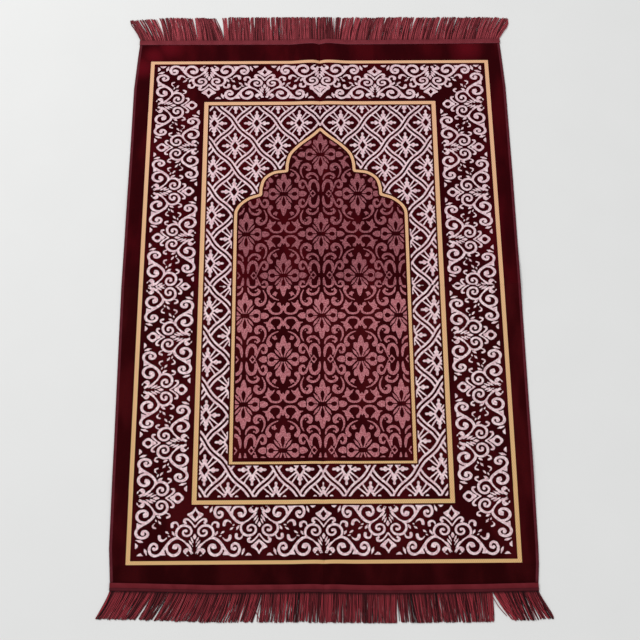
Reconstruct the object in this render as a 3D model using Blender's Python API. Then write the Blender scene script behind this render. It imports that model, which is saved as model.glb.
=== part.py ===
"""Velvet prayer rug laid flat on a floor, with a heading tape and a fringe at both ends.

Metres. +X is right, +Y runs along the rug to the tip of its arch, +Z is up, and the floor is z = 0.
The rug keeps the low rises and the centre crease that folding has left in it.
"""
import math

import bmesh
import bpy

# ---- sizes ---------------------------------------------------------------------------------

PILE_THICKNESS = 0.0026      # velvet ground and pile together
HEM_THICKNESS = 0.0022       # the turned edge down each long side
HEM_WIDTH = 0.0050
HEM_BEVEL = 0.0014
EDGE_ROUND = 0.0011
EDGE_HEIGHT = 0.0011         # of the outermost line of the rounded edge, over the underside
BOUND_THICKNESS = 0.0013     # the pressed strip of cloth under the heading tape
BOUND_STEP = 0.0006          # in which the pile drops to the pressed strip
SEAM_GAP = 0.0003            # between sewn pieces

TAPE_WIDTHS = {-1: 0.0132, 1: 0.0102}     # front, back
TAPE_THICKNESS = 0.0012
TAPE_OVERHANG = 0.0010       # past the cloth at each side
TAPE_TUCK = 0.0060           # how far the cloth stops short of the tape's outer edge
TAPE_SECTION = (
    # share of the width in from the outer edge, share of the thickness
    (1.00, 0.00),
    (1.00, 0.55),
    (0.91, 1.00),
    (0.11, 1.00),
    (0.00, 0.45),
    (0.00, 0.00),
)

SPINE_THICKNESS = 0.0013     # the woven head of the fringe, under the tape
SPINE_SETBACK = 0.0010       # from the tape's outer edge
STRAND_LENGTHS = {-1: 0.0505, 1: 0.0590}  # front, back
TIP_REACH_Y = 0.5955         # half of the length over both fringes
TIP_REACH_X = 0.3680         # half of the width over the flared corner tufts
ROOT_INSET = 0.00025         # each side of a tuft where it leaves the head
TIP_SHARE = 0.80             # width of a tuft's tip over its width at the head

NOMINAL_HALF_LENGTH = 0.5475

# How far each long side lies from the middle, at places along the rug.
SIDE_EDGES = (
    # y, left, right
    (-0.547, 0.3467, 0.3467),
    (-0.500, 0.3496, 0.3510),
    (-0.470, 0.3520, 0.3520),
    (-0.300, 0.3534, 0.3537),
    (0.010, 0.3563, 0.3550),
    (0.230, 0.3544, 0.3551),
    (0.430, 0.3535, 0.3540),
    (0.549, 0.3462, 0.3480),
)

# How far the outer edge of each tape lies from the middle, at places across the rug.
END_EDGES = (
    # x, front, back
    (-0.360, 0.5410, 0.5404),
    (-0.330, 0.5418, 0.5402),
    (-0.180, 0.5464, 0.5398),
    (-0.035, 0.5462, 0.5393),
    (0.108, 0.5488, 0.5394),
    (0.255, 0.5476, 0.5401),
    (0.360, 0.5456, 0.5411),
)

# The crease down the middle: a valley between two low shoulders, which die out beside it.
CREASE_PROFILE = (
    # distance from the valley, share of the shoulders' rise
    (0.000, 0.0),
    (0.015, 1.0),
    (0.037, 0.6),
    (0.060, 0.0),
)
SHOULDER_RISE = (
    # y, rise of the shoulders
    (-0.550, 0.0030),
    (-0.450, 0.0012),
    (0.000, 0.0010),
    (0.400, 0.0014),
    (0.470, 0.0032),
    (0.550, 0.0050),
)

# Low rises of the cloth off the floor: the crease across it, and its uneven edges.
SOFT_RISES = (
    # x, y, half extent along x, half extent along y, rise
    (0.000, 0.008, 0.500, 0.022, 0.0012),
    (0.350, 0.020, 0.045, 0.085, 0.0022),
    (-0.357, 0.190, 0.040, 0.110, 0.0018),
    (-0.350, -0.360, 0.045, 0.090, 0.0014),
    (0.352, -0.330, 0.035, 0.100, 0.0016),
)

# Widths of the tufts to the left and right of the crease, outwards; a last one fills the rest.
# The first three meet at the crease's own bends.
TUFT_WIDTHS_LEFT = (
    0.015, 0.022, 0.023, 0.017, 0.024, 0.013, 0.026, 0.019, 0.016,
    0.021, 0.014, 0.025, 0.018, 0.015, 0.022, 0.017, 0.020,
)
TUFT_WIDTHS_RIGHT = (
    0.015, 0.022, 0.023, 0.025, 0.014, 0.019, 0.027, 0.016,
    0.013, 0.022, 0.018, 0.024, 0.015, 0.020, 0.017, 0.026, 0.014,
)

# How far the tips lean to the right of their roots, at places across the rug.
TIP_LEAN = (
    # x, front, back
    (-0.338, -0.0260, -0.0260),
    (-0.300, -0.0170, -0.0130),
    (-0.200, -0.0120, -0.0080),
    (-0.060, -0.0050, -0.0020),
    (0.080, -0.0030, 0.0040),
    (0.240, 0.0030, 0.0070),
    (0.305, 0.0060, 0.0090),
    (0.338, 0.0270, 0.0260),
)
TIP_SWAY = (0.0006, -0.0009, 0.0002, 0.0010, -0.0005)
TIP_SHORTFALL = (0.0, 0.0012, 0.0004, 0.0020, 0.0008, 0.0)

# Stations along a tuft.
TUFT_STATIONS = (
    # share of the length, share of the lean, height of its top over the floor
    (0.28, 0.20, 0.0018),
    (0.68, 0.62, 0.0016),
    (1.00, 1.00, 0.0010),
)

# Where the cloth's rows lie, as shares of its half length, and its columns, in metres.
ROW_SHARES = (
    0.0, 0.012, 0.026, 0.041, 0.07, 0.11, 0.16, 0.22, 0.28, 0.34, 0.41, 0.48, 0.55,
    0.62, 0.69, 0.75, 0.81, 0.87, 0.93,
)
COLUMNS = (0.0, 0.015, 0.037, 0.060, 0.090, 0.130, 0.180, 0.235, 0.290, 0.325)

# Name, colour (linear), roughness.
VELVET = ("burgundy_velvet", (0.045, 0.003, 0.008), 0.85)
TAPE_CLOTH = ("wine_tape", (0.145, 0.017, 0.026), 0.80)
FRINGE_YARN = ("wine_fringe_yarn", (0.150, 0.020, 0.030), 0.75)


# ---- helpers -------------------------------------------------------------------------------

def from_table(table, place, column):
    """Read a column of a table at a place between its rows."""
    if place <= table[0][0]:
        return table[0][column]
    for low, high in zip(table, table[1:]):
        if place <= high[0]:
            share = (place - low[0]) / (high[0] - low[0])
            return low[column] + share * (high[column] - low[column])
    return table[-1][column]


def ease(share):
    """0 to 1 with a level start and end."""
    share = min(max(share, 0.0), 1.0)
    return share * share * (3.0 - 2.0 * share)


def crease_rise(x, y):
    """Height of the shoulders beside the lengthwise crease."""
    return from_table(SHOULDER_RISE, y, 1) * from_table(CREASE_PROFILE, abs(x), 1)


def lift(x, y):
    """Height of the cloth's underside above the floor."""
    height = crease_rise(x, y)
    for centre_x, centre_y, half_x, half_y, rise in SOFT_RISES:
        distance = math.hypot((x - centre_x) / half_x, (y - centre_y) / half_y)
        height += rise * (1.0 - ease(distance))
    return height


def side_reach(y, side):
    """Distance of a long edge from the middle; side is -1 for left, 1 for right."""
    return from_table(SIDE_EDGES, y, 1 if side < 0 else 2)


def end_reach(x, end):
    """Distance of a tape's outer edge from the middle; end is -1 for front, 1 for back."""
    return from_table(END_EDGES, x, 1 if end < 0 else 2)


def add_sweep(bm, rings):
    """Join closed rings of points into one closed solid."""
    loops = [[bm.verts.new(point) for point in ring] for ring in rings]
    for loop, following in zip(loops, loops[1:]):
        for index in range(len(loop)):
            beside = (index + 1) % len(loop)
            bm.faces.new((loop[index], loop[beside], following[beside], following[index]))
    return loops


def plain_material(name, colour, roughness):
    material = bpy.data.materials.new(name)
    material.use_nodes = True
    shader = material.node_tree.nodes["Principled BSDF"]
    shader.inputs["Base Color"].default_value = (*colour, 1.0)
    shader.inputs["Roughness"].default_value = roughness
    shader.inputs["Metallic"].default_value = 0.0
    material.diffuse_color = (*colour, 1.0)
    return material


def finish_object(name, bm, material_spec):
    bmesh.ops.recalc_face_normals(bm, faces=bm.faces)
    mesh = bpy.data.meshes.new(name)
    bm.to_mesh(mesh)
    bm.free()
    mesh.materials.append(plain_material(*material_spec))
    built = bpy.data.objects.new(name, mesh)
    bpy.context.scene.collection.objects.link(built)
    return built


# ---- cloth ---------------------------------------------------------------------------------

def across(left, right):
    """Places across the rug from one side to the other, denser beside the crease."""
    return [-left] + [-x for x in reversed(COLUMNS[1:])] + list(COLUMNS) + [right]


def cloth_ring(offset_from_end, share, thickness, end):
    """One closed section of the cloth across its width.

    The row lies at a share of the way from the middle to the end, less a fixed offset there.
    """
    nominal_y = end * (share * NOMINAL_HALF_LENGTH - offset_from_end)
    left, right = side_reach(nominal_y, -1), side_reach(nominal_y, 1)
    hem = min(HEM_THICKNESS, thickness)
    edge = min(EDGE_HEIGHT, 0.5 * thickness)

    def at(x, height):
        y = end * (share * end_reach(x, end) - offset_from_end)
        return (x, y, lift(x, y) + height)

    inner = across(left, right)[1:-1]
    top = [
        at(-left, edge),
        at(-left + EDGE_ROUND, hem),
        at(-left + HEM_WIDTH, hem),
        at(-left + HEM_WIDTH + HEM_BEVEL, thickness),
    ]
    top += [at(x, thickness) for x in inner]
    top += [
        at(right - HEM_WIDTH - HEM_BEVEL, thickness),
        at(right - HEM_WIDTH, hem),
        at(right - EDGE_ROUND, hem),
        at(right, edge),
    ]
    underside = [at(right - EDGE_ROUND, 0.0)]
    underside += [at(x, 0.0) for x in reversed(inner)]
    underside += [at(-left + EDGE_ROUND, 0.0)]
    return top + underside


def half_rings(end):
    """Rings from near the middle to one end of the cloth."""
    rings = [cloth_ring(0.0, share, PILE_THICKNESS, end) for share in ROW_SHARES[1:]]
    step = TAPE_WIDTHS[end] + SEAM_GAP
    rings.append(cloth_ring(step + BOUND_STEP, 1.0, PILE_THICKNESS, end))
    rings.append(cloth_ring(step, 1.0, BOUND_THICKNESS, end))
    rings.append(cloth_ring(TAPE_TUCK, 1.0, BOUND_THICKNESS, end))
    return rings


def build_cloth():
    middle = cloth_ring(0.0, ROW_SHARES[0], PILE_THICKNESS, 1)
    rings = list(reversed(half_rings(-1))) + [middle] + half_rings(1)
    bm = bmesh.new()
    loops = add_sweep(bm, rings)
    for loop in (loops[0], loops[-1]):
        close_section(bm, loop)
    return finish_object("rug_cloth", bm, VELVET)


def close_section(bm, loop):
    """Close an end of the cloth with faces between its top and its underside."""
    rim = 4
    top_count = 2 * len(COLUMNS) - 1 + 2 * rim
    top = loop[:top_count]
    facing = list(reversed(loop[top_count:]))
    bm.faces.new((*top[:rim], facing[0]))
    bm.faces.new((*top[-rim:], facing[-1]))
    for index, (point, beside) in enumerate(zip(facing, facing[1:])):
        above = top[rim - 1 + index:rim + 1 + index]
        bm.faces.new((*above, beside, point))


# ---- heading tapes -------------------------------------------------------------------------

def tape_ring(x, end):
    """One closed section of a tape, over the pressed strip of cloth."""
    ring = []
    for width_share, thickness_share in TAPE_SECTION:
        y = end * (end_reach(x, end) - width_share * TAPE_WIDTHS[end])
        height = BOUND_THICKNESS + SEAM_GAP + thickness_share * TAPE_THICKNESS
        ring.append((x, y, lift(x, y) + height))
    return ring


def build_tape(name, end):
    y = end * NOMINAL_HALF_LENGTH
    places = across(side_reach(y, -1) + TAPE_OVERHANG, side_reach(y, 1) + TAPE_OVERHANG)
    bm = bmesh.new()
    loops = add_sweep(bm, [tape_ring(x, end) for x in places])
    bm.faces.new(loops[0])
    bm.faces.new(loops[-1])
    return finish_object(name, bm, TAPE_CLOTH)


# ---- fringes -------------------------------------------------------------------------------

def tuft_edges(widths, reach):
    """Distances of the tufts' edges from the crease, out to a side."""
    edges = [0.0]
    for width in widths:
        edges.append(edges[-1] + width)
    return edges + [reach]


def tuft_spans(end):
    """Left and right x of each tuft along one end."""
    y = end * NOMINAL_HALF_LENGTH
    left = tuft_edges(TUFT_WIDTHS_LEFT, side_reach(y, -1))
    right = tuft_edges(TUFT_WIDTHS_RIGHT, side_reach(y, 1))
    edges = [-distance for distance in reversed(left)] + right[1:]
    return list(zip(edges, edges[1:]))


def spine_loop(bm, x, end):
    """The four corners of the fringe's head: back low, back high, front high, front low."""
    outer = end * (end_reach(x, end) - SPINE_SETBACK)
    inner = end * (end_reach(x, end) - TAPE_TUCK + SEAM_GAP)
    corners = (
        (inner, 0.0),
        (inner, SPINE_THICKNESS),
        (outer, SPINE_THICKNESS),
        (outer, 0.0),
    )
    return [bm.verts.new((x, y, lift(x, y) + height)) for y, height in corners]


def tuft_rings(left, right, number, end):
    """Closed sections of one tuft, from its head to its tip."""
    centre = 0.5 * (left + right)
    half_width = 0.5 * (right - left) - ROOT_INSET
    lean = from_table(TIP_LEAN, centre, 1 if end < 0 else 2) + TIP_SWAY[number % len(TIP_SWAY)]
    length = math.sqrt(STRAND_LENGTHS[end] ** 2 - lean ** 2) - TIP_SHORTFALL[number % len(TIP_SHORTFALL)]
    root = end_reach(centre, end) - SPINE_SETBACK
    rings = []
    for share, lean_share, top in TUFT_STATIONS:
        half = half_width * (1.0 - (1.0 - TIP_SHARE) * share)
        y = end * min(root + share * length, TIP_REACH_Y)
        ring = []
        for side, height in ((-1, 0.0), (1, 0.0), (1, top), (-1, top)):
            raised = lift(centre + side * half_width, end * root) * (1.0 - share) ** 2
            x = centre + lean * lean_share + side * half
            x = min(max(x, -TIP_REACH_X), TIP_REACH_X)
            ring.append((x, y, raised + height))
        rings.append(ring)
    return rings


def add_tuft(bm, left_corner, right_corner, rings):
    """Grow a tuft out of the head between two of its sections."""
    loop = [left_corner[3], right_corner[3], right_corner[2], left_corner[2]]
    for ring in rings:
        following = [bm.verts.new(point) for point in ring]
        for index in range(4):
            beside = (index + 1) % 4
            bm.faces.new((loop[index], loop[beside], following[beside], following[index]))
        loop = following
    bm.faces.new(loop)


def build_fringe(name, end):
    bm = bmesh.new()
    spans = tuft_spans(end)
    sections = []
    for left, right in spans:
        sections.append(spine_loop(bm, left + ROOT_INSET, end))
        sections.append(spine_loop(bm, right - ROOT_INSET, end))
    for number, (section, following) in enumerate(zip(sections, sections[1:])):
        for index in (0, 1, 3):
            beside = (index + 1) % 4
            bm.faces.new((section[index], section[beside], following[beside], following[index]))
        is_tuft = number % 2 == 0
        if is_tuft:
            left, right = spans[number // 2]
            add_tuft(bm, section, following, tuft_rings(left, right, number // 2, end))
        else:
            bm.faces.new((section[2], section[3], following[3], following[2]))
    bm.faces.new(sections[0])
    bm.faces.new(sections[-1])
    return finish_object(name, bm, FRINGE_YARN)


# ---- the rug -------------------------------------------------------------------------------

def main():
    for leftover in list(bpy.data.objects):
        bpy.data.objects.remove(leftover)
    build_cloth()
    build_tape("heading_tape_front", -1)
    build_tape("heading_tape_back", 1)
    build_fringe("fringe_front", -1)
    build_fringe("fringe_back", 1)


main()
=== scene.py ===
"""The looks of a velvet prayer rug: woven figure, heading tapes, yarn fringes, light and camera.

Metres, in the frame's own axes: +X right, +Y to the tip of the arch, +Z up, floor at z = 0.
The figure is drawn in millimetres on small tiles of distances and woven cell by cell into the cloth.
The motifs are not a new drawing: the points of their shapes were read off the photograph.
"""
import functools
import math

import bmesh
import bpy
import numpy as np
from mathutils import Matrix, Vector


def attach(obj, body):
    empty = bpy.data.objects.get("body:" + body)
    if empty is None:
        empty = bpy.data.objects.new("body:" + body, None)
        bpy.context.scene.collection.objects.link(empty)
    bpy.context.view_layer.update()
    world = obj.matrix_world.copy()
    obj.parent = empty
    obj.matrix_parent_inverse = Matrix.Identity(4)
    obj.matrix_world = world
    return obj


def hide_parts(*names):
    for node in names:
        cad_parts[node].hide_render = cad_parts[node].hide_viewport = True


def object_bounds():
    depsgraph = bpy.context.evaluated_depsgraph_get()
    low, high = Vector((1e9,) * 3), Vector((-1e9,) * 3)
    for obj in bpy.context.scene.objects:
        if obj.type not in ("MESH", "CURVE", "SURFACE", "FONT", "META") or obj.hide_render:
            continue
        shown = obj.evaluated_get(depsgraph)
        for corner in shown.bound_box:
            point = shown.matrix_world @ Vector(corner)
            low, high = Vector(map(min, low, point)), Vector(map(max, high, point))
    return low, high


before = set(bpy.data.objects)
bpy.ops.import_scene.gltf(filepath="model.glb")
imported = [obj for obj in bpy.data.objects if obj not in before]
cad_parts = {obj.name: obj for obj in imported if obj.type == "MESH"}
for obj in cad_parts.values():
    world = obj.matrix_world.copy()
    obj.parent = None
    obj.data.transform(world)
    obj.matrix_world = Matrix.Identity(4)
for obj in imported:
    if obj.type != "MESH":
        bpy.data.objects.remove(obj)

CAD_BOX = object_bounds()
MM = 0.001

# ---- sizes of the cloth, as its solids have them -------------------------------------------

PILE_THICKNESS = 0.0026
HEM_THICKNESS = 0.0022
HEM_WIDTH = 0.0050
HEM_BEVEL = 0.0014
EDGE_ROUND = 0.0011
EDGE_HEIGHT = 0.0011
BOUND_THICKNESS = 0.0013     # pressed strip under the heading tape
BOUND_STEP = 0.0006
SEAM_GAP = 0.0003
TAPE_WIDTHS = {-1: 0.0132, 1: 0.0102}     # front, back
TAPE_THICKNESS = 0.0012
TAPE_OVERHANG = 0.0010
TAPE_TUCK = 0.0060
SPINE_THICKNESS = 0.0013
SPINE_SETBACK = 0.0010
STRAND_LENGTHS = {-1: 0.0512, 1: 0.0584}  # front, back
NOMINAL_HALF_LENGTH = 0.5475
TIP_REACH_X = CAD_BOX[1][0]
TIP_REACH_Y = CAD_BOX[1][1] + 0.0015

# The two tables of edges were fitted to the photograph with measuring scripts, and rounded.
SIDE_EDGES = (
    # y, left, right: distance of each long side from the middle
    (-0.547, 0.3467, 0.3467),
    (-0.500, 0.3496, 0.3510),
    (-0.470, 0.3520, 0.3520),
    (-0.300, 0.3534, 0.3537),
    (0.010, 0.3563, 0.3550),
    (0.230, 0.3544, 0.3551),
    (0.430, 0.3535, 0.3540),
    (0.549, 0.3462, 0.3480),
)
END_EDGES = (
    # x, front, back: distance of each tape's outer edge from the middle
    (-0.360, 0.5410, 0.5404),
    (-0.330, 0.5418, 0.5402),
    (-0.180, 0.5464, 0.5398),
    (-0.035, 0.5462, 0.5393),
    (0.108, 0.5488, 0.5394),
    (0.255, 0.5476, 0.5401),
    (0.360, 0.5456, 0.5411),
)
SHOULDER_RISE = (
    # y, rise of the shoulders beside the lengthwise crease
    (-0.550, 0.0030),
    (-0.450, 0.0012),
    (0.000, 0.0010),
    (0.400, 0.0014),
    (0.470, 0.0032),
    (0.550, 0.0050),
)
SHOULDER_PLACE = 0.015
SHOULDER_END = 0.060
SHEEN_HIGHLIGHT_PATCHES = (
    # x, y, reach: soft highlights painted on the velvet near its far corners
    (-0.340, 0.478, 0.036),
    (-0.318, 0.504, 0.032),
    (-0.288, 0.522, 0.034),
    (0.285, 0.520, 0.042),
)
SOFT_RISES = (
    # x, y, half extent along x, half extent along y, rise
    (0.000, 0.008, 0.500, 0.022, 0.0012),
    (0.350, 0.020, 0.045, 0.085, 0.0022),
    (-0.357, 0.190, 0.040, 0.110, 0.0018),
    (-0.350, -0.360, 0.045, 0.090, 0.0014),
    (0.352, -0.330, 0.035, 0.100, 0.0016),
)
TUFT_WIDTHS_LEFT = (
    0.015, 0.022, 0.023, 0.017, 0.024, 0.013, 0.026, 0.019, 0.016,
    0.021, 0.014, 0.025, 0.018, 0.015, 0.022, 0.017, 0.020,
)
TUFT_WIDTHS_RIGHT = (
    0.015, 0.022, 0.023, 0.025, 0.014, 0.019, 0.027, 0.016,
    0.013, 0.022, 0.018, 0.024, 0.015, 0.020, 0.017, 0.026, 0.014,
)
TIP_LEANS = {
    # x, how far the tips lean to the right of their roots, in front and at the back
    -1: (
        (-0.338, -0.0210),
        (-0.282, -0.0270),
        (-0.277, -0.0220),
        (-0.221, -0.0240),
        (-0.216, -0.0200),
        (-0.102, -0.0130),
        (-0.097, -0.0060),
        (0.000, -0.0020),
        (0.122, 0.0000),
        (0.127, 0.0060),
        (0.210, 0.0050),
        (0.215, 0.0090),
        (0.240, 0.0030),
        (0.273, -0.0010),
        (0.277, 0.0260),
        (0.300, 0.0190),
        (0.322, 0.0160),
        (0.338, 0.0230),
    ),
    1: (
        (-0.338, -0.0250),
        (-0.320, -0.0210),
        (-0.297, -0.0190),
        (-0.292, -0.0085),
        (-0.236, -0.0140),
        (-0.231, -0.0065),
        (-0.186, -0.0190),
        (-0.181, -0.0030),
        (-0.050, -0.0010),
        (0.030, -0.0010),
        (0.035, 0.0110),
        (0.130, 0.0120),
        (0.240, 0.0150),
        (0.300, 0.0160),
        (0.322, 0.0190),
        (0.338, 0.0260),
    ),
}
LEAN_DROPS = {-1: 0.25, 1: 0.60}    # how much a leaning strand falls short of the others

# ---- the weave's layout ---------------------------------------------------------------------

CELL = 0.0014                # one knot of the weave, drawn as coarse as shows
CROSS_CREASE = 0.008         # where the rug has been folded across
FOLD_TAKE = 0.0046           # length of the figure that the cross crease swallows
CREASE_TAKE = 0.0010         # half of what the lengthwise crease swallows
FIGURE_HALF_WIDTH = 0.3262   # past the outer gold line the cloth is plain
FIGURE_HALF_LENGTH = 0.5022
FIGURE_SINK = 0.0007         # how far the flat woven figure lies below the pile
SNAP = 0.42                  # most that a knot moves to lie on a figure's edge, in cells

OUTER_GOLD_HALF_WIDTH = 0.3234
OUTER_GOLD_ENDS = (-0.4990, 0.4914)
OUTER_GOLD_LINES = (0.0070, 0.0063)
OUTER_SWELL = 0.0017         # how much farther out the gold runs midway along the sides
INNER_GOLD_HALF_WIDTH = 0.2187
INNER_GOLD_ENDS = (-0.3969, 0.3984)
INNER_GOLD_LINES = (0.0078, 0.0071)
ARCH_HALF_WIDTH = 0.1582
ARCH_FOOT = -0.3266
ARCH_LINE = 0.0055
ARCH_FOOT_LINE = 0.0042
FIGURE_MARGIN = 0.0028       # plain pile beside each gold line
NEAR_MARGIN = 0.0056         # the same at the near ends of the lattice and the field

SCROLL_PITCH = 106.0         # mm between neighbouring scrolls
SIDE_PITCH = 0.0982
SIDE_START = -0.3853
SIDE_TURNS = (0, 8)          # the first and last scroll of a side strip
END_TURNS = (-2, 2)
SCROLL_FITS = {
    # mm of the drawing across a strip, mm to the foot of a scroll on the outer gold, on the inner
    "side": (102.6, 3.2, 4.9),
    "front": (98.7, 4.3, -2.3),
    "back": (103.0, 1.4, 4.1),
}
SCROLL_SPREADS = {"side": 0.12, "front": -0.08, "back": 0.28}   # mm that each line is fattened

# These rows are the rounded output of a script that matched a render with the photograph.
SIDE_CREEP = (
    # y, left, right: how far the side strips' scrolls lie past their even spacing
    (-0.310, 0.0000, 0.0000),
    (-0.230, -0.0028, 0.0000),
    (-0.155, 0.0000, 0.0008),
    (-0.046, 0.0005, 0.0005),
    (0.009, 0.0026, 0.0006),
    (0.065, 0.0068, -0.0008),
    (0.122, 0.0058, -0.0008),
    (0.240, 0.0036, -0.0008),
    (0.301, 0.0006, -0.0020),
    (0.362, -0.0042, -0.0044),
    (0.425, -0.0046, -0.0038),
)

LATTICE_HALF = (40.0, 49.4)  # mm, half diagonals of a lattice cell
LATTICE_START = -0.3860
STRAP_CHANNEL = 2.0          # mm, half width of the dark line down a strap
STRAP_EDGE = 5.7             # mm, half width of a strap
STRAP_GAP = -0.6             # mm of pile beside a strap that passes over
STRAP_SWAY = 1.9             # mm

FLORET_HALF = (67.8, 84.0)   # mm, half of the damask's repeat
FLORET_START = -0.1346
DAMASK_SPREAD = -0.02        # mm that each shape of the damask is fattened


# ---- helpers --------------------------------------------------------------------------------

def ease(share):
    """0 to 1 with a level start and end."""
    share = np.clip(share, 0.0, 1.0)
    return share * share * (3.0 - 2.0 * share)


def from_table(table, place, column):
    """Read a column of a table at places between its rows."""
    return np.interp(place, [row[0] for row in table], [row[column] for row in table])


def lift(x, y):
    """Height of the cloth's underside: the centre crease with its shoulders, and soft rises."""
    distance = np.abs(x)
    inner = np.sin(0.5 * math.pi * np.minimum(distance / SHOULDER_PLACE, 1.0))
    outer = 1.0 - ease((distance - SHOULDER_PLACE) / (SHOULDER_END - SHOULDER_PLACE))
    height = from_table(SHOULDER_RISE, y, 1) * np.where(distance < SHOULDER_PLACE, inner, outer)
    for centre_x, centre_y, half_x, half_y, rise in SOFT_RISES:
        reach = np.hypot((x - centre_x) / half_x, (y - centre_y) / half_y)
        height = height + rise * (1.0 - ease(reach))
    return height


def side_reach(y, side):
    return from_table(SIDE_EDGES, y, 1 if side < 0 else 2)


def end_reach(x, end):
    return from_table(END_EDGES, x, 1 if end < 0 else 2)


def smooth_line(points, steps=6):
    """Points of a smooth curve through a few given ones."""
    given = np.array([points[0], *points, points[-1]], float)
    given[0] = 2 * given[1] - given[2]
    given[-1] = 2 * given[-2] - given[-3]
    curve = []
    for index in range(1, len(given) - 2):
        before, start, stop, after = given[index - 1:index + 3]
        for step in range(steps):
            t = step / steps
            bend = 2 * before - 5 * start + 4 * stop - after
            swing = 3 * start - before - 3 * stop + after
            curve.append(0.5 * (2 * start + (stop - before) * t + bend * t ** 2 + swing * t ** 3))
    curve.append(given[-2])
    return [tuple(point) for point in curve]


def distance_to_line(x, y, points, half_widths):
    """Distance to a line of changing width, negative inside it."""
    distance = np.full(x.shape, 1e3)
    for (ax, ay), (bx, by), wide_a, wide_b in zip(points, points[1:], half_widths, half_widths[1:]):
        dx, dy = bx - ax, by - ay
        share = np.clip(((x - ax) * dx + (y - ay) * dy) / (dx * dx + dy * dy + 1e-12), 0.0, 1.0)
        reach = np.hypot(x - ax - share * dx, y - ay - share * dy)
        np.minimum(distance, reach - wide_a - share * (wide_b - wide_a), out=distance)
    return distance


def distance_to_outline(x, y, points):
    """Distance to a closed outline, negative inside it."""
    distance = np.full(x.shape, 1e3)
    inside = np.zeros(x.shape, bool)
    for (ax, ay), (bx, by) in zip(points, points[1:] + points[:1]):
        dx, dy = bx - ax, by - ay
        share = np.clip(((x - ax) * dx + (y - ay) * dy) / (dx * dx + dy * dy + 1e-12), 0.0, 1.0)
        np.minimum(distance, np.hypot(x - ax - share * dx, y - ay - share * dy), out=distance)
        if dy:
            inside ^= ((ay > y) != (by > y)) & (x < ax + (y - ay) * dx / dy)
    return np.where(inside, -distance, distance)


def distance_to_frame(x, y, half_width, low, high):
    """Distance to an upright rectangle across the middle, negative inside it."""
    beyond_x = np.abs(x) - half_width
    beyond_y = np.maximum(low - y, y - high)
    outside = np.hypot(np.maximum(beyond_x, 0), np.maximum(beyond_y, 0))
    return outside + np.minimum(np.maximum(beyond_x, beyond_y), 0)


# ---- the woven figure, drawn in millimetres -------------------------------------------------
#
# The scroll, its finials, the rosette and the damask copy the photograph's motifs: their points were
# read off zoomed crops and turned into millimetres. The arch's outline was read off the
# photograph too. This is an open failure.

class Drawing:
    """A small tile that holds the distance to the shapes drawn on it."""

    def __init__(self, x_range, y_range, step=0.5):
        self.low = (x_range[0], y_range[0])
        self.step = step
        across = np.arange(x_range[0], x_range[1] + step, step)
        along = np.arange(y_range[0], y_range[1] + step, step)
        self.x, self.y = np.meshgrid(across, along)
        self.distance = np.full(self.x.shape, 50.0)

    def line(self, points, widths):
        """A stroke with its full widths spread evenly along it."""
        places = np.linspace(0, len(widths) - 1, len(points))
        halves = 0.5 * np.interp(places, range(len(widths)), widths)
        np.minimum(self.distance, distance_to_line(self.x, self.y, points, halves), out=self.distance)

    def curve(self, points, widths):
        self.line(smooth_line(points), widths)

    def leaf(self, root, tip, width):
        middle = (0.45 * root[0] + 0.55 * tip[0], 0.45 * root[1] + 0.55 * tip[1])
        self.line([root, middle, tip], (0.25 * width, width, 0.1 * width))

    def dot(self, centre, radius):
        reach = np.hypot(self.x - centre[0], self.y - centre[1]) - radius
        np.minimum(self.distance, reach, out=self.distance)

    def shape(self, points):
        np.minimum(self.distance, distance_to_outline(self.x, self.y, points), out=self.distance)

    def hole(self, points):
        np.maximum(self.distance, -distance_to_outline(self.x, self.y, points), out=self.distance)

    def read(self, x, y):
        """The distance at any places, read between the tile's own."""
        rows, columns = self.x.shape
        across = np.clip((x - self.low[0]) / self.step, 0, columns - 1.001)
        along = np.clip((y - self.low[1]) / self.step, 0, rows - 1.001)
        column, row = across.astype(int), along.astype(int)
        share_x, share_y = across - column, along - row
        tile = self.distance
        low = tile[row, column] * (1 - share_x) + tile[row, column + 1] * share_x
        high = tile[row + 1, column] * (1 - share_x) + tile[row + 1, column + 1] * share_x
        return low * (1 - share_y) + high * share_y


@functools.lru_cache(maxsize=None)
def draw_scroll(finial):
    """Half of the border's scroll, out from its axis and up from its foot, with its finial."""
    art = Drawing((0, 112), (-3, 94))
    draw_scroll_stems(art)
    draw_scroll_leaves(art)
    if finial == "ring":
        draw_slim_hooks(art)
        draw_ring_finial(art)
    else:
        draw_full_hooks(art)
        if finial == "kite":
            draw_kite_finial(art)
        else:
            draw_palmette(art)
    return art


def draw_scroll_stems(art):
    inner = [
        (2.4, 8.6), (9.6, 20.4), (17.4, 29.6), (25.0, 34.4), (29.6, 39.4), (30.4, 46.0), (27.6, 52.4),
        (21.8, 56.8), (15.0, 57.2), (9.0, 54.2), (5.8, 48.6), (6.8, 42.6), (11.2, 39.2), (16.2, 39.8),
        (19.4, 43.6), (18.4, 47.8), (14.8, 48.8),
    ]
    art.curve(inner, (1.8, 2.6, 3.6, 4.4, 4.2, 4.0, 3.6, 3.6, 3.8))
    art.dot((14.4, 47.6), 2.5)
    outer = [
        (24.6, 34.6), (31.0, 35.2), (38.2, 31.4), (45.2, 23.2), (51.2, 14.0), (57.6, 6.8), (65.0, 4.6),
        (71.6, 8.2), (74.0, 16.0), (71.4, 23.2), (66.0, 25.6), (61.8, 22.2), (61.6, 17.0), (65.6, 15.0),
    ]
    art.curve(outer, (3.4, 4.8, 4.8, 4.0, 5.0, 4.6, 4.4, 4.2, 4.0))
    art.dot((66.6, 16.8), 2.9)
    base = [
        (41.0, 29.4), (45.2, 21.6), (44.2, 12.2), (38.4, 6.2), (31.2, 5.6), (25.2, 10.2), (23.6, 17.6),
        (27.4, 23.2), (32.6, 22.8), (34.4, 18.4),
    ]
    art.curve(base, (2.6, 3.8, 4.8, 5.0, 4.4, 4.0, 4.2))
    art.dot((31.2, 19.2), 3.5)


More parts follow.
